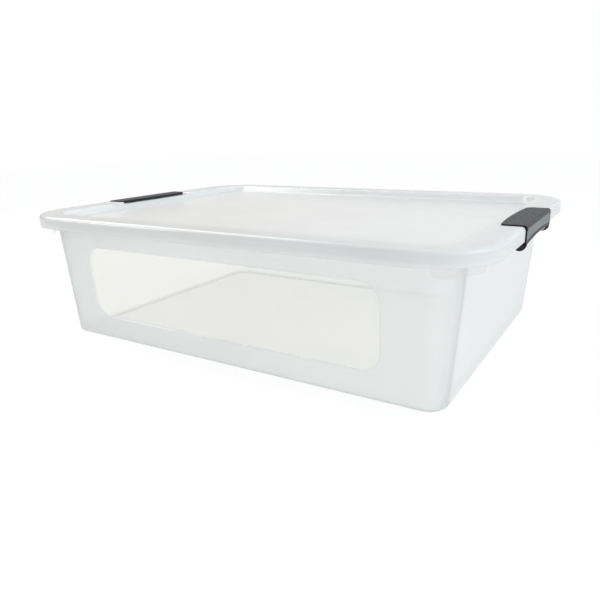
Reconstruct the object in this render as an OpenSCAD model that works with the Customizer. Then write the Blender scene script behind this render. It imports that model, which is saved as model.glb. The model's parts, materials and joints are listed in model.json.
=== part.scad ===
// Clear under-bed storage crate with a lift-off lid and two end latches.
// Four mouldings: the tub, the lid that plugs into it, and a latch hinged at each end.
// Millimetres. The origin is the centre of the foot, +X runs along the crate, +Z is up.

/* [Tub] */
// Length of the tub over its walls, at the foot
foot_l = 505.5; // [480:0.5:515]
// Width of the tub over its walls, at the foot
foot_w = 357.7; // [340:0.5:365]
// Corner radius of the tub at the foot
foot_r = 20.5; // [12:0.5:30]
// How far each end wall leans out over the height of the tub
end_lean = 11.5; // [8:0.1:12]
// How far each long wall leans out over the height of the tub
side_lean = 7.2; // [5:0.1:8]
// Height of the top of the rim
rim_z = 150.3; // [149:0.1:150.3]
// Wall thickness of the tub
tub_wall = 2; // [1.5:0.1:2.5]
// How far the floor is raised inside the foot ring
foot_recess = 1.6; // [1:0.1:2]

/* [Lid] */
// Length of the lid
lid_l = 580; // [570:1:590]
// Width of the lid
lid_w = 416; // [410:1:420]
// Corner radius of the lid
lid_r = 65; // [55:1:70]
// Height of the top of the lid rim
lid_top_z = 155.1; // [155:0.1:156]
// Depth of the lid skirt
skirt_h = 14.7; // [12:0.1:15]
// Thickness of the lid
lid_wall = 1.8; // [1.5:0.1:2]
// Radius of the outer top edge of the lid
edge_r = 4; // [3:0.5:4]
// Depth of the stacking recess in the lid
recess_h = 9.1; // [7:0.1:9.5]

/* [Latches] */
// Length of each latch along the end of the crate
latch_l = 128; // [116:2:132]
// How far the top plate reaches in over the lid
latch_reach = 27.5; // [24:0.5:28]
// Top of the latch above the lid rim
latch_rise = 0.9; // [0.9:0.1:1.5]
// Radius of the moulded hinge pins
pin_r = 2; // [1.6:0.1:2]
// Radial clearance of each pin in its lug
pin_gap = 0.05; // [0.03:0.01:0.1]

/* [Hidden] */
corner_steps = 8;
fine = 64;

// Tub
rim_out_l = lid_l - 9;
rim_out_w = lid_w - 9;
rim_out_r = lid_r - 4.5;
rim_thick = 2;
lip_h = 7.3;
lip_thick = 2;
corner_skirt_z = 130;
corner_skirt_x = 243;
corner_skirt_y = 150;
corner_skirt_in = 8;
corner_skirt_thick = 2;
foot_fillet = 4;
foot_ring = 9;
floor_thick = 2.2;
inside_fillet = 6;

// Lid
recess_l = 512;
recess_w = 360;
recess_r = 24;
recess_draft = 1.2;
skirt_z = lid_top_z - skirt_h;
lid_under_z = lid_top_z - lid_wall;
seal_rib_in = 15;
seal_rib_w = 2;
rest_gap = 0.2;

// Seat for a latch, sunk into the lid's rim and skirt, and open to the stacking recess
seat_z = lid_top_z - 3;
seat_half_l = latch_l / 2 + 3;
seat_open = 1;
seat_face_in = 2;
seat_edge_r = 3;
seat_overlap = 0.5;
seat_join_in = 1.2;

// Latches
latch_out_x = lid_l / 2 + 1;
latch_top_z = lid_top_z + latch_rise;
plate_thick = 2;
web_thick = 2.4;
latch_edge_r = 3;
pin_x = latch_out_x - 6.7;
pin_z = skirt_z - 4.4;
ear_r = 5.2;
ear_corner_r = 6.5;
ear_t = 5;
ear_top_z = skirt_z - 0.5;
web_low_z = skirt_z - 3.2;
scoop_h = 2.4;
scoop_half_l = latch_l / 2 - ear_t - 4;
bead_gap = 0.3;
bead_w = 2.2;
lug_t = 4;
lug_r = 3.8;
lug_gap = 0.5;
lug_y = latch_l / 2 - ear_t - lug_gap - lug_t;
post_x = [-4, 1];
latch_corner_r = 6;
latch_nose_bow = 3;

// Half the length or width of the tub's outside at height z
function wall_x(z) = foot_l / 2 + end_lean * z / rim_z;
function wall_y(z) = foot_w / 2 + side_lean * z / rim_z;
function wall_r(z) = foot_r + 10 * z / rim_z;

// One ring of points round a rectangle of half size hx by hy with corner radius r, at height z
function ring(hx, hy, r, z) = [
    for (corner = [0:3], step = [0:corner_steps])
        let (
            a = 90 * (corner + step / corner_steps),
            sx = (corner == 0 || corner == 3) ? 1 : -1,
            sy = (corner < 2) ? 1 : -1
        )
        [sx * (hx - r) + r * cos(a), sy * (hy - r) + r * sin(a), z]
];

// A ring that follows the outside of the tub wall, moved in by inset
function wall_ring(z, inset = 0) = ring(wall_x(z) - inset, wall_y(z) - inset, wall_r(z) - inset, z);

// A ring that is concentric with an outline of full size l by w and radius r, moved in by inset
function inset_ring(l, w, r, inset, z) = ring(l / 2 - inset, w / 2 - inset, r - inset, z);

// Skin through a list of rings, closed by the first ring below and the last ring above
module skin(rings) {
    n = len(rings[0]);
    m = len(rings);
    polyhedron(
        points = [for (one = rings, p = one) p],
        faces = concat(
            [[for (i = [0:n - 1]) i]],
            [for (j = [0:m - 2], i = [0:n - 1])
                [j * n + i, (j + 1) * n + i, (j + 1) * n + (i + 1) % n, j * n + (i + 1) % n]],
            [[for (i = [n - 1:-1:0]) (m - 1) * n + i]]
        )
    );
}

// Flat plan of a rectangle with true round corners
module plan(hx, hy, r) {
    square([2 * (hx - r), 2 * hy], center = true);
    square([2 * hx, 2 * (hy - r)], center = true);
    for (sx = [-1, 1], sy = [-1, 1])
        translate([sx * (hx - r), sy * (hy - r)])
            circle(r, $fn = fine);
}

// A skirt hangs from the flange round each corner of the tub, between the lip and the wall
module corner_skirts() {
    hx = rim_out_l / 2 - corner_skirt_in;
    hy = rim_out_w / 2 - corner_skirt_in;
    r = rim_out_r - corner_skirt_in;
    height = rim_z - rim_thick / 2 - corner_skirt_z;
    intersection() {
        translate([0, 0, corner_skirt_z])
            linear_extrude(height)
                difference() {
                    plan(hx, hy, r);
                    plan(hx - corner_skirt_thick, hy - corner_skirt_thick, r - corner_skirt_thick);
                }
        for (sx = [-1, 1], sy = [-1, 1])
            translate([
                sx > 0 ? corner_skirt_x : -lid_l,
                sy > 0 ? corner_skirt_y : -lid_w,
                corner_skirt_z - 1
            ])
                cube([lid_l - corner_skirt_x, lid_w - corner_skirt_y, rim_z]);
    }
}

// Latch lug: a bored eye on a post that hangs from the flange, seen along the hinge
module lug_profile() {
    difference() {
        union() {
            circle(lug_r, $fn = fine);
            translate([post_x[0], 0])
                square([post_x[1] - post_x[0], rim_z - rim_thick / 2 - pin_z]);
        }
        circle(pin_r + pin_gap, $fn = fine);
    }
}

// The two lugs that carry the latch at the +X end
module lugs() {
    for (y = [lug_y + lug_t, -lug_y])
        translate([pin_x, y, pin_z])
            rotate([90, 0, 0])
                linear_extrude(lug_t)
                    lug_profile();
}

// Open tub with a foot ring, leaning walls, a flange with a turned-down edge, and latch lugs
module tub() {
    color([0.88, 0.91, 0.92, 0.6])
    union() {
        skin([
            wall_ring(foot_recess, foot_ring),
            wall_ring(0, foot_ring - 1),
            wall_ring(0, foot_fillet),
            wall_ring(foot_fillet * 0.3, foot_fillet * 0.3),
            wall_ring(foot_fillet),
            wall_ring(rim_z - rim_thick),
            inset_ring(rim_out_l, rim_out_w, rim_out_r, lip_thick, rim_z - rim_thick),
            inset_ring(rim_out_l, rim_out_w, rim_out_r, lip_thick, rim_z - lip_h),
            inset_ring(rim_out_l, rim_out_w, rim_out_r, 0, rim_z - lip_h),
            inset_ring(rim_out_l, rim_out_w, rim_out_r, 0, rim_z - 1),
            inset_ring(rim_out_l, rim_out_w, rim_out_r, 1, rim_z),
            wall_ring(rim_z, tub_wall - 0.8),
            wall_ring(rim_z - 1.2, tub_wall),
            wall_ring(floor_thick + foot_recess + inside_fillet, tub_wall),
            wall_ring(floor_thick + foot_recess + inside_fillet * 0.3, tub_wall + inside_fillet * 0.3),
            wall_ring(floor_thick + foot_recess, tub_wall + inside_fillet)
        ]);
        corner_skirts();
        lugs();
        mirror([1, 0, 0])
            lugs();
    }
}

// Skin that lines a latch seat under the rim and behind the skirt
module seat_lining() {
    start = recess_l / 2 + seat_open;
    face = lid_l / 2 - seat_face_in - lid_wall;
    half = seat_half_l + lid_wall;
    difference() {
        translate([start, -half, skirt_z])
            cube([lid_l / 2 - seat_join_in - start, 2 * half, lid_under_z + seat_overlap - skirt_z]);
        translate([start - 1, -lid_w / 2, skirt_z - 1])
            cube([face - start + 1, lid_w, rim_z + rest_gap - skirt_z + 1]);
    }
}

// What a latch seat removes from the rim and the skirt, with a round edge between them
module seat_cut() {
    face = lid_l / 2 - seat_face_in;
    start = recess_l / 2 - seat_open;
    rotate([90, 0, 0])
        linear_extrude(2 * seat_half_l, center = true)
            difference() {
                translate([start, skirt_z - 1])
                    square([lid_l / 2 - start + 1, skirt_h + 2]);
                translate([start - 1, skirt_z - 2])
                    square([face - seat_edge_r - start + 1, seat_z - skirt_z + 2]);
                translate([start - 1, skirt_z - 2])
                    square([face - start + 1, seat_z - seat_edge_r - skirt_z + 2]);
                translate([face - seat_edge_r, seat_z - seat_edge_r])
                    circle(seat_edge_r, $fn = fine);
            }
}

// Lid with a raised rim, a skirt outside the tub's flange, a recessed panel and two latch seats
module lid() {
    color([0.9, 0.93, 0.93, 0.6])
    difference() {
        union() {
            skin([
                inset_ring(recess_l, recess_w, recess_r, recess_draft - lid_wall,
                    lid_under_z - recess_h),
                inset_ring(recess_l, recess_w, recess_r, -lid_wall, lid_under_z),
                inset_ring(lid_l, lid_w, lid_r, seal_rib_in + seal_rib_w, lid_under_z),
                inset_ring(lid_l, lid_w, lid_r, seal_rib_in + seal_rib_w, rim_z + rest_gap),
                inset_ring(lid_l, lid_w, lid_r, seal_rib_in, rim_z + rest_gap),
                inset_ring(lid_l, lid_w, lid_r, seal_rib_in, lid_under_z),
                inset_ring(lid_l, lid_w, lid_r, lid_wall, lid_under_z),
                inset_ring(lid_l, lid_w, lid_r, lid_wall, skirt_z),
                inset_ring(lid_l, lid_w, lid_r, 0, skirt_z),
                inset_ring(lid_l, lid_w, lid_r, 0, lid_top_z - edge_r),
                for (a = [22.5:22.5:90])
                    inset_ring(lid_l, lid_w, lid_r, edge_r * (1 - cos(a)),
                        lid_top_z - edge_r * (1 - sin(a))),
                inset_ring(recess_l, recess_w, recess_r, 0, lid_top_z),
                inset_ring(recess_l, recess_w, recess_r, recess_draft, lid_top_z - recess_h)
            ]);
            seat_lining();
            mirror([1, 0, 0])
                seat_lining();
        }
        seat_cut();
        mirror([1, 0, 0])
            seat_cut();
    }
}

// Web, top plate and bead of a latch, seen along the hinge
module latch_profile() {
    tip = lid_l / 2 - latch_reach;
    web_in = latch_out_x - web_thick;
    edge_x = latch_out_x - latch_edge_r;
    edge_z = latch_top_z - latch_edge_r;
    bead_z = seat_z + bead_gap;
    translate([web_in, web_low_z])
        square([web_thick, edge_z - web_low_z]);
    translate([tip, latch_top_z - plate_thick])
        square([edge_x - tip, plate_thick]);
    translate([edge_x, edge_z])
        intersection() {
            circle(latch_edge_r, $fn = fine);
            square(latch_edge_r);
        }
    translate([tip, bead_z])
        square([bead_w, latch_top_z - plate_thick / 2 - bead_z]);
}

// Hinge ear at each end of a latch, seen along the hinge
module ear_profile() {
    corner_x = latch_out_x - ear_corner_r;
    corner_z = pin_z - ear_r + ear_corner_r;
    intersection() {
        union() {
            translate([pin_x, pin_z])
                circle(ear_r, $fn = fine);
            translate([corner_x, corner_z])
                circle(ear_corner_r, $fn = fine);
            translate([pin_x, corner_z])
                square([latch_out_x - pin_x, ear_corner_r]);
        }
        translate([pin_x - ear_r - 1, pin_z - ear_r - 1])
            square([2 * ear_corner_r + 4, ear_top_z - pin_z + ear_r + 1]);
    }
}

// Plan of a latch: its nose is a shallow arc with round corners
module latch_plan() {
    tip = lid_l / 2 - latch_reach;
    half = latch_l / 2;
    bow_r = (pow(half, 2) + pow(latch_nose_bow, 2)) / (2 * latch_nose_bow);
    corner_x = tip + latch_nose_bow + latch_corner_r;
    intersection() {
        translate([tip + bow_r, 0])
            circle(bow_r, $fn = 96);
        union() {
            translate([tip, -half + latch_corner_r])
                square([2 * latch_reach, latch_l - 2 * latch_corner_r]);
            translate([corner_x, -half])
                square([2 * latch_reach, latch_l]);
            for (sy = [-1, 1])
                translate([corner_x, sy * (half - latch_corner_r)])
                    circle(latch_corner_r, $fn = fine);
        }
    }
}

// Shallow finger scoop in the lower edge of the web
module scoop() {
    scoop_r = (pow(scoop_half_l, 2) + pow(scoop_h, 2)) / (2 * scoop_h);
    translate([pin_x, 0, web_low_z + scoop_h - scoop_r])
        rotate([0, 90, 0])
            cylinder(r = scoop_r, h = 2 * ear_corner_r, $fn = 128);
}

// The latch at the +X end: a top plate over the lid, a web, and an ear with a pin at each end
module latch() {
    half = latch_l / 2;
    color([0.27, 0.28, 0.29])
    union() {
        difference() {
            intersection() {
                rotate([90, 0, 0])
                    linear_extrude(latch_l, center = true)
                        latch_profile();
                linear_extrude(2 * lid_top_z)
                    latch_plan();
            }
            scoop();
        }
        for (y = [half, ear_t - half])
            translate([0, y, 0])
                rotate([90, 0, 0])
                    linear_extrude(ear_t)
                        ear_profile();
        for (sy = [-1, 1])
            translate([pin_x, sy * (half - 1), pin_z])
                rotate([sy * 90, 0, 0])
                    cylinder(r = pin_r, h = half - 1 - lug_y + 1, $fn = fine);
    }
}

module latch_right() {
    latch();
}

module latch_left() {
    mirror([1, 0, 0])
        latch();
}

tub();
lid();
latch_right();
latch_left();
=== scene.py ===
"""Clear storage crate with a lift-off lid and two dark grey end latches, on a white floor.

The mesh code works in millimetres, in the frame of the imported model: the origin is the centre of
the foot, +X runs along the crate and +Z is up. make_piece() turns each mesh into metres.
"""
import json
import math

import bmesh
import bpy
from mathutils import Matrix, Vector


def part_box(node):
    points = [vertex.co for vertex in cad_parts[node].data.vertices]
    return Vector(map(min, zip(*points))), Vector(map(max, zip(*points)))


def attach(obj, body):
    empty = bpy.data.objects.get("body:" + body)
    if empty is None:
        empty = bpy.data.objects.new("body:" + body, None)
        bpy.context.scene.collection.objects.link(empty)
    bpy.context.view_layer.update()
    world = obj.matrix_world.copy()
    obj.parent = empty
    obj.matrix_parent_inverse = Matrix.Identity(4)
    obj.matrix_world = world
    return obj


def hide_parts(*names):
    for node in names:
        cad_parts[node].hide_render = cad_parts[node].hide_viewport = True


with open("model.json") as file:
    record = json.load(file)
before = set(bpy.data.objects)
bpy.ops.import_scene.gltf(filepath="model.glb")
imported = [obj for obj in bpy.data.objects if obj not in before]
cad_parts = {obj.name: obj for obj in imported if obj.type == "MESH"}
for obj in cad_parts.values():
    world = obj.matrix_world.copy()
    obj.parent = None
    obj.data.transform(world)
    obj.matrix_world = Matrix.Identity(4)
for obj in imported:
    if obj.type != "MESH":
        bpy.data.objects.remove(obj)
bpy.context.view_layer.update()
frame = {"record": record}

MM = 0.001


def box_mm(cad_node):
    """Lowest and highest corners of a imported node, in millimetres."""
    low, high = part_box(cad_node)
    return [value / MM for value in low], [value / MM for value in high]


def hinge_mm(name):
    """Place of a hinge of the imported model, in millimetres."""
    for joint in frame["record"]["behaviour"]["joints"]:
        if joint["name"] == name:
            return [value / MM for value in joint["pos_m"]]
    raise ValueError(name)


# Sizes that the frame gives
LID_LOW, LID_HIGH = box_mm("lid")
_, TUB_HIGH = box_mm("tub")
LATCH_LOW, LATCH_HIGH = box_mm("latch_right")
PIN_X, _, PIN_Z = hinge_mm("latch_right_hinge")

# Tub. An outline is half a length, half a width and a corner radius.
LID_OVER_RIM = 4.5
RIM = (LID_HIGH[0] - LID_OVER_RIM, LID_HIGH[1] - LID_OVER_RIM, 60.5)
RIM_Z = TUB_HIGH[2]
RIM_ROUND = 1.0
RIM_INNER_ROUND = 1.2
FOOT = (252.75, 178.85, 20.5)
END_LEAN = 11.5
SIDE_LEAN = 7.2
CORNER_GROWTH = 10.0
TUB_WALL = 2.0
FOOT_RECESS = 1.6
FOOT_RING = 9.0
FOOT_SLOPE = 1.0
FOOT_FILLET = 4.0
FLOOR_Z = 3.8
FLOOR_FILLET = 6.0
FLANGE = 2.0
FLANGE_Z = RIM_Z - FLANGE
FLANGE_FILLET = 1.5
LIP_Z = RIM_Z - 7.3
LIP_EDGE = 0.4
CORNER_SKIRT_IN = 8.0
CORNER_SKIRT_Z = 130.0
CORNER_SKIRT_X = 243.0
CORNER_SKIRT_Y = 150.0
CORNER_SKIRT_ROUND = 5.0
CORNER_SKIRT_WALL = 2.0
CORNER_SKIRT_EDGE = 0.4

# Lugs. The sides of the post are distances in X from the pin's axis.
LUG_Y = (54.5, 58.5)
LUG_R = 3.8
BORE_R = 2.05
LUG_POST = (-4.0, 1.0)
EYE_STEPS = 32
POST_STEPS = 8

# Polished windows in the long walls. Each step of the edge is a distance in and a depth.
WINDOW_HALF = 195.0
WINDOW_Z = (29.0, 119.0)
WINDOW_R = 22.0
WINDOW_STEPS = ((0.0, 0.0), (0.5, 0.48), (1.6, 0.8))

# Lid
LID = (LID_HIGH[0], LID_HIGH[1], 65.0)
LID_TOP = LID_HIGH[2]
SKIRT_Z = LID_LOW[2]
SKIRT_EDGE = 0.5
LID_WALL = 1.8
LID_UNDER = LID_TOP - LID_WALL
LID_EDGE = 4.0
RECESS = (256.0, 180.0, 24.0)
RECESS_DRAFT = 1.2
PANEL_Z = LID_TOP - 9.1
MOUTH_ROUND = 1.5
PANEL_FILLET = 2.5
SEAL_RIB = (15.0, 17.0)
SEAL_RIB_Z = RIM_Z + 0.2
SEAT_Z = LID_TOP - 3.0
SEAT_HALF = 67.0
SEAT_SIDE = 0.8
SEAT_FACE_IN = 2.0
SEAT_EDGE = 3.0
SEAT_UNDER_EDGE = 1.2

# Latch
LATCH_HALF = LATCH_HIGH[1]
LATCH_OUT = LATCH_HIGH[0]
LATCH_TOP = LATCH_HIGH[2]
LATCH_TIP = LATCH_LOW[0]
LATCH_EDGE = 3.0
STATION_GAP = 10.0
WEB = 2.4
WEB_Z = SKIRT_Z - 3.2
PLATE = 2.0
NOSE_BOW = 3.0
NOSE_CORNER = 6.0
NOSE_ROUND = 0.9
BEAD_W = 2.2
BEAD_Z = SEAT_Z + 0.3
BEAD_EDGE = 0.4
SCOOP = 2.4
SCOOP_HALF = 55.0
EAR = 5.0
EAR_R = 5.2
EAR_CORNER = 6.5
EAR_TOP = SKIRT_Z - 0.5
EAR_INSIDE_FACE = 0.05
EAR_STEPS = 12
PIN_R = 2.0
PIN_END = 53.5
PIN_ROOT = 1.0
PIN_STEPS = 24
PANEL_BORDER = 3.0
PANEL_UNDER_EDGE = 0.6
PANEL_SINK = 0.5
PANEL_SLOPE = 0.4
PANEL_CORNER = 2.0

# Small rounded edges, as distances of their points from the two faces that they join
SOFT_EDGE = ((0.5, 0.0), (0.15, 0.15), (0.0, 0.5))
WEB_FILLET = ((1.2, 0.0), (0.35, 0.35), (0.0, 1.2))

# Latch edges that turn by more than this angle, in radians, are bevelled by these widths
SHARP_TURN = 1.2
EAR_BEVEL = 0.4
END_BEVEL = 0.35

# Steps round a corner of an outline, the gap in which points are one, and the angle between faces
# above which an edge isn't shaded smooth
CORNER_STEPS = 16
WELD = 0.001
SMOOTH_ANGLE = math.radians(32)

# Material slots of the tub, of which the lid has the first two. The last is a copy of the frosted
# # wall plastic for the end walls, with a pale edge tint, so that they show lighter: painted light
FROSTED_SLOT, INSIDE_SLOT, WINDOW_SLOT, EDGE_SLOT, FLOOR_SLOT, LIT_END_SLOT = range(6)

# Material slots of a latch, and the strip of its section, counted round it, that is its panel.
# # The panel's slot is a much lighter copy of the grey plastic: painted sheen
GRAIN_SLOT, SHEEN_PANEL_SLOT = range(2)
PANEL_STRIP = 4

# Tints of the light that goes straight through clear plastic: one face on, and four edge on
CLEAR_TINT = (0.995, 0.997, 0.995)
DEEP_TINT = (0.5, 0.53, 0.53)
THIN_TINT = (0.96, 0.965, 0.96)
# Near black edge on: partly the longer way through the plastic, mostly painted shade that darkens walls and
# lid where seen aslant
EDGE_ABSORB_AND_SHADE_TINT = (0.03, 0.03, 0.03)
# Warm edge on: painted warm light, which tints the window towards its left end, where it is seen aslant
PAINTED_WARM_LIGHT_TINT = (0.95, 0.87, 0.76)

# How clear plastic changes from face on to edge on: blend and power of its haze and of its gloss,
# and the share of light that it reflects face on and edge on
HAZE_BLEND = 0.3
HAZE_POWER = 2.5
GLOSS_BLEND = 0.5
GLOSS_POWER = 5.0
GLOSS = (0.035, 0.6)
PLASTIC_IOR = 1.49

# Noise, with its scale per metre and its span as a share of the roughness, and bumps, with their
# strength and their depth in metres
SHADE_SCALE = 9.0
WEAR_SCALE = 40.0
WEAR_SPAN = 0.1
CLEAR_BUMP = (0.05, 0.0002)
GREY_SHADE_SCALE = 60.0
GREY_WEAR_SCALE = 300.0
GREY_WEAR_SPAN = 0.15
GREY_BUMP = (0.35, 0.0003)
GREY_GLOSS = 0.1

# Floor, in metres
FLOOR_HALF = 4.0
FLOOR_DROP = 0.0004
FLOOR_SCALE = 2.0
FLOOR_GLOW = 0.88

# Light of the room: mean level, how it grows along X, Y and Z, and its shades left and right
ROOM_LEVEL = 0.81
ROOM_SLOPE = (0.46, 0.32, 0.26)
ROOM_WARM = (1.0, 0.945, 0.88)
ROOM_COOL = (0.9, 0.975, 1.06)

# Camera, in metres, degrees and, for its lens and sensor, millimetres
CAMERA_PLACE = (0.3894, -0.6140, 0.2470)
CAMERA_AZIMUTH = 31.51
CAMERA_ELEVATION = 17.39
CAMERA_ROLL = -1.51
CAMERA_LENS = 33.49
CAMERA_SENSOR = 36
CAMERA_SHIFT = (-0.0218, 0.0074)


# ---------------------------------------------------------------- mesh tools

def arc(steps):
    """Angles of a quarter turn in equal steps, in radians."""
    return [math.pi / 2 * step / steps for step in range(steps + 1)]


def inset(outline, amount):
    """A rounded rectangle moved in all round by an amount."""
    return tuple(value - amount for value in outline)


def ring(outline, z, stops=()):
    """Points round a rounded rectangle. Stops are extra points along its two ends."""
    half_x, half_y, radius = outline
    points = []
    for quarter in range(4):
        sign_x = 1 if quarter in (0, 3) else -1
        sign_y = 1 if quarter < 2 else -1
        for turn in arc(CORNER_STEPS):
            angle = turn + quarter * math.pi / 2
            x = sign_x * (half_x - radius) + radius * math.cos(angle)
            y = sign_y * (half_y - radius) + radius * math.sin(angle)
            points.append((x, y, z))
        if quarter == 1:
            points += [(-half_x, y, z) for y in reversed(stops)]
        if quarter == 3:
            points += [(half_x, y, z) for y in stops]
    return points


def about_pin(radius, angle):
    """Point in X and Z at a distance and an angle from the axis of the right latch's pins."""
    return PIN_X + radius * math.cos(angle), PIN_Z + radius * math.sin(angle)


def add_ring(mesh, points):
    """Vertices of one ring."""
    return [mesh.verts.new(point) for point in points]


def skin(mesh, rings, slots):
    """Faces between each ring and the next, with a material index for each band. Returns the bands."""
    bands = []
    for lower, upper, slot in zip(rings, rings[1:], slots):
        band = []
        count = len(lower)
        for i in range(count):
            k = (i + 1) % count
            face = mesh.faces.new((lower[i], lower[k], upper[k], upper[i]))
            face.material_index = slot
            band.append(face)
        bands.append(band)
    return bands


def extrude_profile(mesh, profile, y_low, y_high):
    """A closed profile in X and Z, made solid from y_low to y_high. Returns its faces."""
    low = add_ring(mesh, [(x, y_low, z) for x, z in profile])
    high = add_ring(mesh, [(x, y_high, z) for x, z in profile])
    faces = skin(mesh, [low, high], [GRAIN_SLOT])[0]
    faces.append(mesh.faces.new(low))
    faces.append(mesh.faces.new(list(reversed(high))))
    return faces


def make_piece(name, mesh, materials, body, cad_node):
    """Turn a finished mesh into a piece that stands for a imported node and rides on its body."""
    bmesh.ops.remove_doubles(mesh, verts=mesh.verts, dist=WELD)
    bmesh.ops.dissolve_degenerate(mesh, edges=mesh.edges, dist=WELD)
    bmesh.ops.recalc_face_normals(mesh, faces=mesh.faces)
    bmesh.ops.transform(mesh, matrix=Matrix.Scale(MM, 4), verts=mesh.verts)
    data = bpy.data.meshes.new(name)
    mesh.to_mesh(data)
    mesh.free()
    for material in materials:
        data.materials.append(material)
    data.shade_smooth()
    data.set_sharp_from_angle(angle=SMOOTH_ANGLE)
    piece = bpy.data.objects.new(name, data)
    bpy.context.scene.collection.objects.link(piece)
    normals = piece.modifiers.new("flat faces stay flat", "WEIGHTED_NORMAL")
    normals.keep_sharp = True
    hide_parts(cad_node)
    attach(piece, body)


# ---------------------------------------------------------------- tub

def wall(z, amount=0.0):
    """Outline of the outside of the leaning walls at height z, moved in by an amount."""
    share = z / RIM_Z
    growth = (END_LEAN * share, SIDE_LEAN * share, CORNER_GROWTH * share)
    return tuple(foot + grown - amount for foot, grown in zip(FOOT, growth))


def tub_foot():
    """Rings of the foot ring and of the round edge that leads up to the walls."""
    rings = [
        ring(wall(FOOT_RECESS, FOOT_RING), FOOT_RECESS),
        ring(wall(0, FOOT_RING - FOOT_SLOPE), 0),
    ]
    for angle in arc(4):
        z = FOOT_FILLET * (1 - math.cos(angle))
        rings.append(ring(wall(z, FOOT_FILLET * (1 - math.sin(angle))), z))
    return rings


def tub_flange():
    """Rings of the flange's underside, the lip and the rim's round outer edge."""
    rings = []
    for angle in arc(3):
        z = FLANGE_Z - FLANGE_FILLET * (1 - math.sin(angle))
        rings.append(ring(wall(z, -FLANGE_FILLET * (1 - math.cos(angle))), z))
    rings.append(ring(inset(RIM, FLANGE), FLANGE_Z))
    rings.append(ring(inset(RIM, FLANGE), LIP_Z))
    rings.append(ring(inset(RIM, LIP_EDGE), LIP_Z))
    rings.append(ring(RIM, LIP_Z + LIP_EDGE))
    for angle in arc(4):
        z = RIM_Z - RIM_ROUND * (1 - math.sin(angle))
        rings.append(ring(inset(RIM, RIM_ROUND * (1 - math.cos(angle))), z))
    return rings


def tub_hollow():
    """Rings of the rim's inner edge, the inside of the walls and the round edge of the floor."""
    rings = []
    for angle in arc(3):
        z = RIM_Z - RIM_INNER_ROUND * (1 - math.cos(angle))
        amount = TUB_WALL - RIM_INNER_ROUND * (1 - math.sin(angle))
        rings.append(ring(wall(z, amount), z))
    for angle in arc(6):
        z = FLOOR_Z + FLOOR_FILLET * (1 - math.sin(angle))
        amount = TUB_WALL + FLOOR_FILLET * (1 - math.cos(angle))
        rings.append(ring(wall(z, amount), z))
    return rings


def window(mesh, face, side):
    """Replace a flat wall face by a polished rounded window, sunk a little into its frame."""
    frame_slot = face.material_index
    edges = list(face.edges)
    mesh.faces.remove(face)
    middle = sum(WINDOW_Z) / 2
    half_z = (WINDOW_Z[1] - WINDOW_Z[0]) / 2
    loops = []
    for amount, depth in WINDOW_STEPS:
        plan = ring(inset((WINDOW_HALF, half_z, WINDOW_R), amount), 0.0)
        loops.append(add_ring(mesh, [
            (x, side * (wall(middle + up)[1] - depth), middle + up) for x, up, _ in plan
        ]))
    first = loops[0]
    for i, vertex in enumerate(first):
        edges.append(mesh.edges.new((vertex, first[(i + 1) % len(first)])))
    filled = bmesh.ops.triangle_fill(mesh, edges=edges, use_beauty=True, normal=(0, side, 0))
    for item in filled["geom"]:
        if isinstance(item, bmesh.types.BMFace):
            item.material_index = frame_slot
    skin(mesh, loops, [EDGE_SLOT, EDGE_SLOT])
    pane = mesh.faces.new(loops[-1])
    pane.material_index = WINDOW_SLOT


def corner_skirt_places(length):
    """Places along a corner skirt where it needs a section: even steps, and closer at its ends."""
    places = {length * step / CORNER_STEPS for step in range(CORNER_STEPS + 1)}
    for angle in arc(5):
        near = CORNER_SKIRT_ROUND * (1 - math.cos(angle))
        places |= {near, length - near}
    return sorted(places)


def corner_skirt_section(place, length):
    """Section of a corner skirt at a place along it, as distances inward and heights."""
    into = CORNER_SKIRT_ROUND - min(place, length - place, CORNER_SKIRT_ROUND)
    low = CORNER_SKIRT_Z + CORNER_SKIRT_ROUND - math.sqrt(CORNER_SKIRT_ROUND ** 2 - into ** 2)
    return (
        (0.0, FLANGE_Z),
        (0.0, low + CORNER_SKIRT_EDGE),
        (CORNER_SKIRT_EDGE, low),
        (CORNER_SKIRT_WALL - CORNER_SKIRT_EDGE, low),
        (CORNER_SKIRT_WALL, low + CORNER_SKIRT_EDGE),
        (CORNER_SKIRT_WALL, FLANGE_Z),
    )


def corner_skirt(mesh, sign_x, sign_y):
    """A skirt that hangs from the flange round one corner, with rounded lower corners."""
    half_x, half_y, radius = inset(RIM, CORNER_SKIRT_IN)
    centre_x = half_x - radius
    centre_y = half_y - radius
    start = math.asin((CORNER_SKIRT_Y - centre_y) / radius)
    end = math.acos((CORNER_SKIRT_X - centre_x) / radius)
    length = (end - start) * radius
    sections = []
    for place in corner_skirt_places(length):
        angle = start + place / radius
        section = []
        for away, z in corner_skirt_section(place, length):
            x = centre_x + (radius - away) * math.cos(angle)
            y = centre_y + (radius - away) * math.sin(angle)
            section.append((sign_x * x, sign_y * y, z))
        sections.append(add_ring(mesh, section))
    skin(mesh, sections, [INSIDE_SLOT] * (len(sections) - 1))
    for cap in (list(reversed(sections[0])), sections[-1]):
        mesh.faces.new(cap).material_index = INSIDE_SLOT


def lug(mesh, sign, y_low, y_high):
    """Bored eye on a post under the flange, which carries a latch pin."""
    start = math.acos(LUG_POST[1] / LUG_R)
    sweep = math.pi + start
    angles = [start - sweep * step / EYE_STEPS for step in range(EYE_STEPS + 1)]
    outer = [about_pin(LUG_R, angle) for angle in angles]
    for step in range(1, POST_STEPS):
        angles.append(math.pi - (2 * math.pi - sweep) * step / POST_STEPS)
        share = (step - 1) / (POST_STEPS - 2)
        outer.append((PIN_X + LUG_POST[0] + (LUG_POST[1] - LUG_POST[0]) * share, FLANGE_Z))
    inner = [about_pin(BORE_R, angle) for angle in angles]
    loops = []
    for profile, y in ((outer, y_low), (outer, y_high), (inner, y_high), (inner, y_low)):
        loops.append(add_ring(mesh, [(sign * x, y, z) for x, z in profile]))
    skin(mesh, loops + loops[:1], [EDGE_SLOT] * 4)


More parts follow.
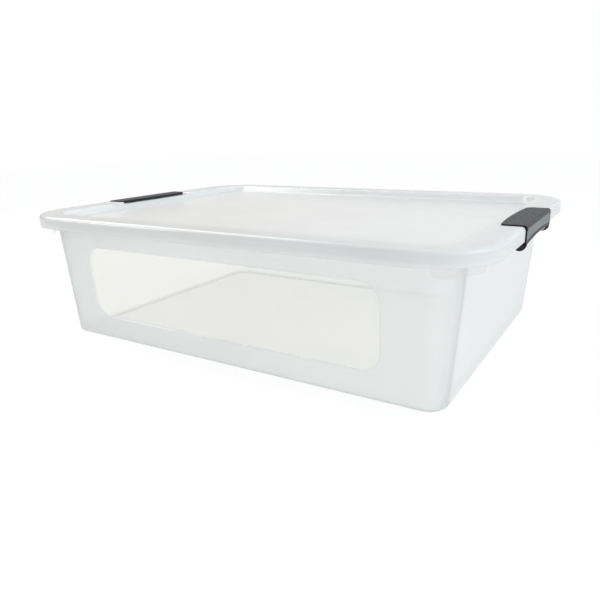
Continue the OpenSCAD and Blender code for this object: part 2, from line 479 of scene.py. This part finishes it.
def build_tub():
    """Open tub: foot ring, leaning walls with a window in each long side, flange, lip and lugs."""
    mesh = bmesh.new()
    foot = tub_foot()
    flange = tub_flange()
    hollow = tub_hollow()
    rings = [add_ring(mesh, points) for points in foot + flange + hollow]
    slots = [FROSTED_SLOT] * len(foot) + [EDGE_SLOT] * len(flange) + [INSIDE_SLOT] * len(hollow)
    bands = skin(mesh, rings, slots)
    for points in (list(reversed(rings[0])), rings[-1]):
        mesh.faces.new(points).material_index = FLOOR_SLOT
    walls = bands[len(foot) - 1]
    back, left, front, right = [walls[corner * (CORNER_STEPS + 1) - 1] for corner in (1, 2, 3, 4)]
    # The end walls take their own copy of the frosted plastic, which shows lighter: painted light
    left.material_index = LIT_END_SLOT
    right.material_index = LIT_END_SLOT
    window(mesh, back, 1)
    window(mesh, front, -1)
    for sign_x in (1, -1):
        for sign_y in (1, -1):
            corner_skirt(mesh, sign_x, sign_y)
    for sign in (1, -1):
        for side in (1, -1):
            y_low, y_high = sorted((side * LUG_Y[0], side * LUG_Y[1]))
            lug(mesh, sign, y_low, y_high)
    return mesh


# ---------------------------------------------------------------- lid

def seat_stops():
    """Places along each end of the lid where a latch seat starts, ends or crosses the middle."""
    half = [SEAT_HALF + SEAT_SIDE, SEAT_HALF, SEAT_HALF / 2]
    return sorted([-y for y in half] + [0.0] + half)


def lid_ring(outline, z, seat_x=None, seat_z=None):
    """A ring of the lid. Within a latch seat it runs at another distance and height."""
    seated = []
    for x, y, height in ring(outline, z, seat_stops()):
        if abs(y) <= SEAT_HALF:
            if seat_x is not None:
                x = math.copysign(seat_x, x)
            if seat_z is not None:
                height = seat_z
        seated.append((x, y, height))
    return seated


def lid_under_side():
    """Rings of the underside: the panel, the recess wall, the seal rib and the skirt."""
    rings = []
    centre = RECESS_DRAFT + PANEL_FILLET
    outer = PANEL_FILLET + LID_WALL
    for angle in reversed(arc(4)):
        outline = inset(RECESS, centre - outer * math.cos(angle))
        rings.append(lid_ring(outline, PANEL_Z + PANEL_FILLET - outer * math.sin(angle)))
    rings.append(lid_ring(inset(RECESS, -LID_WALL), LID_UNDER, seat_z=SEAL_RIB_Z))
    rings.append(lid_ring(inset(LID, SEAL_RIB[1]), LID_UNDER, seat_z=SEAL_RIB_Z))
    rings.append(lid_ring(inset(LID, SEAL_RIB[1]), SEAL_RIB_Z))
    rings.append(lid_ring(inset(LID, SEAL_RIB[0]), SEAL_RIB_Z))
    rings.append(lid_ring(inset(LID, SEAL_RIB[0]), LID_UNDER, seat_z=SEAL_RIB_Z))
    round_r = LID_EDGE - LID_WALL
    seat_centre = SEAT_FACE_IN + LID_WALL + SEAT_UNDER_EDGE
    for angle in arc(4):
        rings.append(lid_ring(
            inset(LID, LID_EDGE - round_r * math.sin(angle)),
            LID_UNDER - round_r * (1 - math.cos(angle)),
            LID[0] - seat_centre + SEAT_UNDER_EDGE * math.sin(angle),
            SEAL_RIB_Z - SEAT_UNDER_EDGE * (1 - math.cos(angle)),
        ))
    rings.append(lid_ring(inset(LID, LID_WALL), SKIRT_Z, LID[0] - SEAT_FACE_IN - LID_WALL))
    return rings


def lid_upper_side():
    """Rings of the visible side: the skirt, the round edge, the rim, the recess and the panel."""
    face = LID[0] - SEAT_FACE_IN
    rings = [
        lid_ring(inset(LID, SKIRT_EDGE), SKIRT_Z, face - SKIRT_EDGE),
        lid_ring(LID, SKIRT_Z + SKIRT_EDGE, face),
    ]
    for angle in arc(6):
        rings.append(lid_ring(
            inset(LID, LID_EDGE * (1 - math.cos(angle))),
            LID_TOP - LID_EDGE * (1 - math.sin(angle)),
            face - SEAT_EDGE * (1 - math.cos(angle)),
            SEAT_Z - SEAT_EDGE * (1 - math.sin(angle)),
        ))
    for angle in arc(4):
        outline = inset(RECESS, -MOUTH_ROUND * (1 - math.sin(angle)))
        drop = MOUTH_ROUND * (1 - math.cos(angle))
        rings.append(lid_ring(outline, LID_TOP - drop, seat_z=SEAT_Z - drop))
    for angle in arc(5):
        outline = inset(RECESS, RECESS_DRAFT + PANEL_FILLET - PANEL_FILLET * math.cos(angle))
        rings.append(lid_ring(outline, PANEL_Z + PANEL_FILLET * (1 - math.sin(angle))))
    return rings


def build_lid():
    """Lid: flat stacking panel in a recess, raised rim with a latch seat at each end, and skirt."""
    mesh = bmesh.new()
    under = [add_ring(mesh, points) for points in lid_under_side()]
    upper = [add_ring(mesh, points) for points in lid_upper_side()]
    skin(mesh, under + upper[:1], [INSIDE_SLOT] * len(under))
    skin(mesh, upper, [FROSTED_SLOT] * (len(upper) - 1))
    mesh.faces.new(list(reversed(under[0]))).material_index = INSIDE_SLOT
    mesh.faces.new(upper[-1]).material_index = FROSTED_SLOT
    return mesh


# ---------------------------------------------------------------- latches

def nose_x(y):
    """Distance of the latch's inner edge from the middle of the crate at y: a bow, round corners."""
    y = abs(y)
    flat = LATCH_HALF - NOSE_CORNER
    bow_r = (LATCH_HALF ** 2 + NOSE_BOW ** 2) / (2 * NOSE_BOW)
    bow = LATCH_TIP + bow_r - math.sqrt(bow_r ** 2 - y ** 2)
    if y <= flat:
        return bow
    corner = LATCH_TIP + NOSE_BOW + NOSE_CORNER
    return max(bow, corner - math.sqrt(max(NOSE_CORNER ** 2 - (y - flat) ** 2, 0.0)))


def web_low(y):
    """Height of the web's lower edge at y, with its shallow finger scoop."""
    if abs(y) >= SCOOP_HALF:
        return WEB_Z
    scoop_r = (SCOOP_HALF ** 2 + SCOOP ** 2) / (2 * SCOOP)
    return WEB_Z + SCOOP - scoop_r + math.sqrt(scoop_r ** 2 - y ** 2)


def web_face(y):
    """Points up the web's outer face at y, with its soft lower edge and its sunk panel."""
    low = web_low(y)
    panel_half = LATCH_HALF - PANEL_BORDER
    over = min(max(abs(y) - (panel_half - PANEL_CORNER), 0.0), PANEL_CORNER)
    corner = PANEL_CORNER - math.sqrt(PANEL_CORNER ** 2 - over ** 2)
    sunk = abs(y) <= panel_half - PANEL_SLOPE
    face = LATCH_OUT - (PANEL_SINK if sunk else 0.0)
    panel_low = low + PANEL_BORDER + corner
    panel_high = LATCH_TOP - LATCH_EDGE - PANEL_UNDER_EDGE - corner
    points = [(LATCH_OUT - across, low + up) for across, up in SOFT_EDGE]
    points += [
        (LATCH_OUT, panel_low),
        (face, panel_low + PANEL_SLOPE),
        (face, panel_high - PANEL_SLOPE),
        (LATCH_OUT, panel_high),
    ]
    return points


def plate_end(y):
    """Points round the plate's inner edge and its bead at y."""
    tip = nose_x(y)
    points = []
    for angle in arc(4):
        x = tip + NOSE_ROUND * (1 - math.sin(angle))
        z = LATCH_TOP - NOSE_ROUND * (1 - math.cos(angle))
        points.append((x, z))
    points += [
        (tip, BEAD_Z + BEAD_EDGE),
        (tip + BEAD_EDGE, BEAD_Z),
        (tip + BEAD_W - BEAD_EDGE, BEAD_Z),
        (tip + BEAD_W, BEAD_Z + BEAD_EDGE),
        (tip + BEAD_W, LATCH_TOP - PLATE),
    ]
    return points


def latch_section(y):
    """Closed section of a latch at y: web, round outer edge, plate and bead."""
    points = web_face(y)
    for angle in arc(6):
        x = LATCH_OUT - LATCH_EDGE * (1 - math.cos(angle))
        z = LATCH_TOP - LATCH_EDGE * (1 - math.sin(angle))
        points.append((x, z))
    points += plate_end(y)
    inner = LATCH_OUT - WEB
    under = LATCH_TOP - PLATE
    points += [(inner - across, under - down) for across, down in WEB_FILLET]
    points.append((inner, web_low(y)))
    return points


def latch_stations():
    """Places along the latch where it needs a section."""
    half = {STATION_GAP * step for step in range(6)}
    half.add(SCOOP_HALF)
    flat = LATCH_HALF - NOSE_CORNER
    for angle in arc(8):
        half.add(flat + NOSE_CORNER * math.sin(angle))
    panel_half = LATCH_HALF - PANEL_BORDER
    for angle in arc(4):
        half.add(panel_half - PANEL_CORNER + PANEL_CORNER * math.sin(angle))
    half.add(panel_half - PANEL_SLOPE)
    half = sorted(half)
    return [-y for y in reversed(half[1:])] + half


def ear_profile():
    """Hinge ear seen along the hinge: round about the pin, with a larger round outer corner."""
    corner_x = LATCH_OUT - EAR_CORNER
    corner_z = PIN_Z - EAR_R + EAR_CORNER
    start = math.asin((EAR_TOP - PIN_Z) / EAR_R)
    points = []
    for step in range(EAR_STEPS + 1):
        points.append(about_pin(EAR_R, math.pi - start + (math.pi / 2 + start) * step / EAR_STEPS))
    for angle in arc(8):
        points.append((corner_x + EAR_CORNER * math.sin(angle), corner_z - EAR_CORNER * math.cos(angle)))
    points.append((LATCH_OUT - EAR_INSIDE_FACE, corner_z + EAR_INSIDE_FACE))
    points.append((LATCH_OUT - EAR_INSIDE_FACE, EAR_TOP))
    return points


def add_pin(mesh, side):
    """Hinge pin that points in from an ear, with a soft edge round its end."""
    profile = [(along, PIN_R - across) for across, along in SOFT_EDGE]
    profile.append((LATCH_HALF - PIN_ROOT - PIN_END, PIN_R))
    rings = []
    for distance, radius in profile:
        y = side * (PIN_END + distance)
        circle = [about_pin(radius, 2 * math.pi * step / PIN_STEPS) for step in range(PIN_STEPS)]
        rings.append(add_ring(mesh, [(x, y, z) for x, z in circle]))
    skin(mesh, rings, [GRAIN_SLOT] * (len(rings) - 1))
    mesh.faces.new(rings[0])
    mesh.faces.new(list(reversed(rings[-1])))


def is_sharp(edge):
    """True if the faces on the two sides of an edge meet at a sharp angle."""
    return edge.calc_face_angle(0) > SHARP_TURN


def bevel_ears(mesh, ears):
    """Round the sharp edges of the ears."""
    rims = [edge for edge in mesh.edges if is_sharp(edge) and any(f in ears for f in edge.link_faces)]
    bmesh.ops.bevel(mesh, geom=rims, offset=EAR_BEVEL, segments=3, profile=0.5, affect="EDGES")


def bevel_ends(mesh):
    """Round the sharp edges at the two ends of the web and the plate, above the ears."""
    ends = []
    for edge in mesh.edges:
        at_end = all(abs(abs(v.co.y) - LATCH_HALF) < WELD for v in edge.verts)
        above_ear = min(v.co.z for v in edge.verts) > EAR_TOP
        if at_end and above_ear and is_sharp(edge):
            ends.append(edge)
    bmesh.ops.bevel(
        mesh, geom=ends, offset=END_BEVEL, segments=2, profile=0.5, affect="EDGES", clamp_overlap=True)


def build_latch(sign):
    """Latch with its plate over the lid, its web, and an ear with a pin at each end."""
    mesh = bmesh.new()
    sections = [add_ring(mesh, [(x, y, z) for x, z in latch_section(y)]) for y in latch_stations()]
    for band in skin(mesh, sections, [GRAIN_SLOT] * (len(sections) - 1)):
        # The sunk panel gets the lighter grey: painted sheen
        band[PANEL_STRIP].material_index = SHEEN_PANEL_SLOT
    mesh.faces.new(list(reversed(sections[0])))
    mesh.faces.new(sections[-1])
    ears = set()
    for side in (1, -1):
        y_low, y_high = sorted((side * LATCH_HALF, side * (LATCH_HALF - EAR)))
        ears.update(extrude_profile(mesh, ear_profile(), y_low, y_high))
        add_pin(mesh, side)
    bmesh.ops.recalc_face_normals(mesh, faces=mesh.faces)
    bevel_ears(mesh, ears)
    bevel_ends(mesh)
    if sign < 0:
        bmesh.ops.transform(mesh, matrix=Matrix.Scale(-1, 4, Vector((1, 0, 0))), verts=mesh.verts)
    return mesh


# ---------------------------------------------------------------- material tools

def new_material(name):
    """An empty node material with its output node."""
    material = bpy.data.materials.new(name)
    material.use_nodes = True
    tree = material.node_tree
    tree.nodes.clear()
    return material, tree, tree.nodes.new("ShaderNodeOutputMaterial")


def node(tree, kind, values=None, **settings):
    """A node with its settings and the values of its sockets."""
    made = tree.nodes.new(kind)
    for name, value in settings.items():
        setattr(made, name, value)
    for name, value in (values or {}).items():
        made.inputs[name].default_value = value
    return made


def noise(tree, scale, detail=3.0):
    """Soft noise fixed to the piece, with its scale per metre."""
    place = node(tree, "ShaderNodeTexCoord")
    made = node(tree, "ShaderNodeTexNoise", {"Scale": scale, "Detail": detail})
    tree.links.new(place.outputs["Object"], made.inputs["Vector"])
    return made.outputs["Fac"]


def spread(tree, source, low, high, start=0.3, end=0.7):
    """Map the range from start to end, by default that of noise, onto the range from low to high."""
    made = node(tree, "ShaderNodeMapRange", {
        "From Min": start, "From Max": end, "To Min": low, "To Max": high,
    })
    tree.links.new(source, made.inputs["Value"])
    return made.outputs["Result"]


def colour_mix(tree):
    """A mix of two colours. Returns its factor, its two colours and its result."""
    made = node(tree, "ShaderNodeMix", data_type="RGBA")
    first, second = [socket for socket in made.inputs if socket.type == "RGBA"]
    result = [socket for socket in made.outputs if socket.type == "RGBA"][0]
    return made.inputs[0], first, second, result


def tint(tree, source, first_shade, second_shade):
    """A colour that goes from one shade to another as the source goes from 0 to 1."""
    factor, first, second, result = colour_mix(tree)
    first.default_value = (*first_shade, 1)
    second.default_value = (*second_shade, 1)
    tree.links.new(source, factor)
    return result


def mottle(tree, scale, light, dark):
    """A colour that wanders between two close shades."""
    return tint(tree, spread(tree, noise(tree, scale), 0.0, 1.0), light, dark)


def wear(tree, scale, rough, span):
    """A roughness that wanders by a share of itself to either side."""
    return spread(tree, noise(tree, scale), rough * (1 - span), rough * (1 + span))


def grain(tree, scale, strength, depth):
    """Fine moulded grain as a bump."""
    made = node(tree, "ShaderNodeBump", {"Strength": strength, "Distance": depth})
    tree.links.new(noise(tree, scale, 4.0), made.inputs["Height"])
    return made.outputs["Normal"]


def facing(tree, blend):
    """A value that is 0 where the surface is seen face on and 1 where it is seen edge on."""
    return node(tree, "ShaderNodeLayerWeight", {"Blend": blend}).outputs["Facing"]


def raised(tree, source, exponent):
    """A value raised to a power."""
    made = node(tree, "ShaderNodeMath", operation="POWER")
    made.inputs[1].default_value = exponent
    tree.links.new(source, made.inputs[0])
    return made.outputs[0]


def shader_mix(tree, first, second):
    """A mix of two shaders."""
    made = node(tree, "ShaderNodeMixShader")
    tree.links.new(first, made.inputs[1])
    tree.links.new(second, made.inputs[2])
    return made


# ---------------------------------------------------------------- materials

def hazy(tree, shade, rough, bump, glow):
    """Haze of clear plastic: it scatters light back, and the share glow on through the wall."""
    body = node(tree, "ShaderNodeBsdfPrincipled", {"IOR": PLASTIC_IOR})
    tree.links.new(shade, body.inputs["Base Color"])
    tree.links.new(rough, body.inputs["Roughness"])
    tree.links.new(bump, body.inputs["Normal"])
    through = node(tree, "ShaderNodeBsdfTranslucent")
    tree.links.new(shade, through.inputs["Color"])
    scatter = shader_mix(tree, body.outputs[0], through.outputs[0])
    scatter.inputs["Fac"].default_value = glow
    return scatter.outputs[0]


def glossy(tree, rough, bump):
    """Reflections on the surface of the plastic."""
    mirror = node(tree, "ShaderNodeBsdfAnisotropic")
    tree.links.new(rough, mirror.inputs["Roughness"])
    tree.links.new(bump, mirror.inputs["Normal"])
    return mirror.outputs[0]


def clear_plastic(name, light, dark, haze, edge, rough, grain_size, glow):
    """Thin clear plastic: a haze that scatters light, a clear share that lets it through, and gloss.

    The haze wanders between two shades. haze is its share seen face on and edge on. edge is the
    tint that the clear share gains edge on, where light goes a longer way through the plastic; the
    near black edge tint is partly painted shade, and the warm one is painted warm light.
    glow is the part of the haze that passes on through the wall.
    """
    material, tree, output = new_material(name)
    shade = mottle(tree, SHADE_SCALE, light, dark)
    roughness = wear(tree, WEAR_SCALE, rough, WEAR_SPAN)
    bump = grain(tree, grain_size, *CLEAR_BUMP)
    slant = facing(tree, HAZE_BLEND)
    clear = node(tree, "ShaderNodeBsdfTransparent")
    tree.links.new(tint(tree, slant, CLEAR_TINT, edge), clear.inputs["Color"])
    whole = shader_mix(tree, clear.outputs[0], hazy(tree, shade, roughness, bump, glow))
    haze_share = spread(tree, raised(tree, slant, HAZE_POWER), *haze, 0.0, 1.0)
    tree.links.new(haze_share, whole.inputs["Fac"])
    gloss = shader_mix(tree, whole.outputs[0], glossy(tree, roughness, bump))
    steep = raised(tree, facing(tree, GLOSS_BLEND), GLOSS_POWER)
    gloss_share = spread(tree, steep, *GLOSS, 0.0, 1.0)
    tree.links.new(gloss_share, gloss.inputs["Fac"])
    tree.links.new(gloss.outputs[0], output.inputs["Surface"])
    return material


def grey_plastic(name, light, dark, rough, grain_size):
    """Dark grey moulded plastic with a fine satin grain."""
    material, tree, output = new_material(name)
    body = node(tree, "ShaderNodeBsdfPrincipled", {"IOR": PLASTIC_IOR, "Specular IOR Level": GREY_GLOSS})
    tree.links.new(mottle(tree, GREY_SHADE_SCALE, light, dark), body.inputs["Base Color"])
    tree.links.new(wear(tree, GREY_WEAR_SCALE, rough, GREY_WEAR_SPAN), body.inputs["Roughness"])
    tree.links.new(grain(tree, grain_size, *GREY_BUMP), body.inputs["Normal"])
    tree.links.new(body.outputs[0], output.inputs["Surface"])
    return material


def floor_material():
    """Plain white floor that is lit mostly from below, like a light table."""
    material, tree, output = new_material("white_floor")
    paint = node(tree, "ShaderNodeBsdfDiffuse")
    tree.links.new(mottle(tree, FLOOR_SCALE, (0.96, 0.96, 0.96), (0.94, 0.94, 0.94)), paint.inputs["Color"])
    glow = node(tree, "ShaderNodeEmission", {"Color": (1, 1, 1, 1), "Strength": 1.0})
    whole = shader_mix(tree, paint.outputs[0], glow.outputs[0])
    whole.inputs["Fac"].default_value = FLOOR_GLOW
    tree.links.new(whole.outputs[0], output.inputs["Surface"])
    return material


# ---------------------------------------------------------------- stage

def add_floor():
    """Large white floor that the crate stands on."""
    mesh = bmesh.new()
    half = FLOOR_HALF
    corners = [(-half, -half), (half, -half), (half, half), (-half, half)]
    mesh.faces.new(add_ring(mesh, [(x, y, -FLOOR_DROP) for x, y in corners]))
    data = bpy.data.meshes.new("floor")
    mesh.to_mesh(data)
    mesh.free()
    data.materials.append(floor_material())
    floor = bpy.data.objects.new("floor", data)
    bpy.context.scene.collection.objects.link(floor)


def add_light(name, place, target, size, power, shade):
    """Soft square light of one shade that points at a target."""
    data = bpy.data.lights.new(name, "AREA")
    data.size = size
    data.energy = power
    data.color = shade
    light = bpy.data.objects.new(name, data)
    light.location = place
    direction = Vector(target) - Vector(place)
    light.rotation_euler = direction.to_track_quat("-Z", "Y").to_euler()
    bpy.context.scene.collection.objects.link(light)


def room_light(tree):
    """Light of the room: it grows along ROOM_SLOPE, and is warm at the left and cool at the right."""
    place = node(tree, "ShaderNodeTexCoord").outputs["Generated"]
    along = node(tree, "ShaderNodeVectorMath", operation="DOT_PRODUCT")
    along.inputs[1].default_value = ROOM_SLOPE
    tree.links.new(place, along.inputs[0])
    level = spread(tree, along.outputs["Value"], ROOM_LEVEL - 1, ROOM_LEVEL + 1, -1.0, 1.0)
    split = node(tree, "ShaderNodeSeparateXYZ")
    tree.links.new(place, split.inputs[0])
    side = spread(tree, split.outputs["X"], 0.0, 1.0, -1.0, 1.0)
    lit = node(tree, "ShaderNodeVectorMath", operation="SCALE")
    tree.links.new(tint(tree, side, ROOM_WARM, ROOM_COOL), lit.inputs[0])
    tree.links.new(level, lit.inputs["Scale"])
    return lit.outputs[0]


def add_world():
    """Surroundings that light the crate with the room's light and look plain white themselves."""
    world = bpy.data.worlds.new("white_room")
    world.use_nodes = True
    tree = world.node_tree
    seen, first, second, result = colour_mix(tree)
    tree.links.new(node(tree, "ShaderNodeLightPath").outputs["Is Camera Ray"], seen)
    tree.links.new(room_light(tree), first)
    second.default_value = (1, 1, 1, 1)
    tree.links.new(result, tree.nodes["Background"].inputs["Color"])
    bpy.context.scene.world = world
    bpy.context.scene.view_settings.view_transform = "Standard"


def add_camera():
    """Camera to the right of the front of the crate, a little above it."""
    azimuth = math.radians(CAMERA_AZIMUTH)
    elevation = math.radians(CAMERA_ELEVATION)
    roll = math.radians(CAMERA_ROLL)
    back = Vector((
        math.sin(azimuth) * math.cos(elevation),
        -math.cos(azimuth) * math.cos(elevation),
        math.sin(elevation),
    ))
    level = Vector((math.cos(azimuth), math.sin(azimuth), 0))
    upright = back.cross(level)
    right = level * math.cos(roll) + upright * math.sin(roll)
    up = upright * math.cos(roll) - level * math.sin(roll)
    data = bpy.data.cameras.new("camera")
    data.lens = CAMERA_LENS
    data.sensor_width = CAMERA_SENSOR
    data.shift_x, data.shift_y = CAMERA_SHIFT
    camera = bpy.data.objects.new("camera", data)
    turn = Matrix((right, up, back)).transposed().to_4x4()
    camera.matrix_world = Matrix.Translation(CAMERA_PLACE) @ turn
    bpy.context.scene.collection.objects.link(camera)
    bpy.context.scene.camera = camera


# ---------------------------------------------------------------- the crate

# Its clear share goes near black edge on: painted shade, darkest at the front wall's left end
frosted_tub = clear_plastic(
    "frosted_tub", light=(0.92, 0.945, 0.94), dark=(0.89, 0.915, 0.91),
    haze=(0.5, 0.95), edge=EDGE_ABSORB_AND_SHADE_TINT, rough=0.42, grain_size=900, glow=0.68,
)
tub_inside = clear_plastic(
    "tub_inside", light=(0.95, 0.95, 0.945), dark=(0.93, 0.93, 0.925),
    haze=(0.05, 0.4), edge=THIN_TINT, rough=0.15, grain_size=60, glow=0.5,
)
# The window's clear share turns warm edge on: painted warm light
tub_window = clear_plastic(
    "tub_window", light=(0.8, 0.83, 0.82), dark=(0.77, 0.8, 0.79),
    haze=(0.17, 0.6), edge=PAINTED_WARM_LIGHT_TINT, rough=0.06, grain_size=60, glow=0.5,
)
tub_edge = clear_plastic(
    "tub_edge", light=(0.84, 0.845, 0.845), dark=(0.81, 0.815, 0.82),
    haze=(0.6, 0.95), edge=DEEP_TINT, rough=0.16, grain_size=300, glow=0.6,
)
tub_floor = clear_plastic(
    "tub_floor", light=(0.96, 0.96, 0.955), dark=(0.94, 0.94, 0.935),
    haze=(0.06, 0.25), edge=THIN_TINT, rough=0.12, grain_size=60, glow=0.6,
)
# Same frosted plastic as the long walls, set apart with a pale edge tint so that the end walls show
# lighter: painted light
tub_end_lit_copy = clear_plastic(
    "tub_end_lit_copy", light=(0.86, 0.87, 0.87), dark=(0.84, 0.85, 0.85),
    haze=(0.5, 0.9), edge=THIN_TINT, rough=0.36, grain_size=900, glow=0.6,
)
# Its clear share goes near black edge on: painted shade, darker towards the back of the lid
frosted_lid = clear_plastic(
    "frosted_lid", light=(0.94, 0.95, 0.95), dark=(0.91, 0.92, 0.92),
    haze=(0.68, 0.95), edge=EDGE_ABSORB_AND_SHADE_TINT, rough=0.2, grain_size=900, glow=0.45,
)
lid_inside = clear_plastic(
    "lid_inside", light=(0.9, 0.905, 0.905), dark=(0.88, 0.885, 0.885),
    haze=(0.12, 0.6), edge=THIN_TINT, rough=0.2, grain_size=60, glow=0.4,
)
latch_grain = grey_plastic(
    "latch_grain", light=(0.024, 0.025, 0.027), dark=(0.018, 0.019, 0.021), rough=0.45, grain_size=1500,
)
# The same grey plastic, much lighter, for the sunk panel: painted sheen where its face catches light
latch_panel_sheen = grey_plastic(
    "latch_panel_sheen", light=(0.16, 0.17, 0.17), dark=(0.14, 0.148, 0.148), rough=0.5, grain_size=1500,
)

make_piece(
    "clear_tub", build_tub(), [frosted_tub, tub_inside, tub_window, tub_edge, tub_floor, tub_end_lit_copy],
    "tub_body", "tub",
)
make_piece(
    "clear_lid", build_lid(), [frosted_lid, lid_inside],
    "lid_body", "lid",
)
for side, sign in (("right", 1), ("left", -1)):
    make_piece(
        f"grey_latch_{side}", build_latch(sign), [latch_grain, latch_panel_sheen],
        f"latch_{side}_body", f"latch_{side}",
    )

add_floor()
add_world()
add_light(
    "key", place=(0.95, -0.12, 0.5), target=(0.2, 0, 0.1), size=0.6, power=3, shade=(0.82, 0.93, 1.0))
add_light(
    "edge", place=(-1.0, -0.8, 0.6), target=(-0.12, -0.2, 0.05), size=0.35, power=3.5,
    shade=(1.0, 0.97, 0.94))
add_light(
    "overhead", place=(-0.75, 0.0, 0.85), target=(-0.1, 0, 0.1), size=0.8, power=8,
    shade=(1.0, 0.98, 0.96))
add_camera()
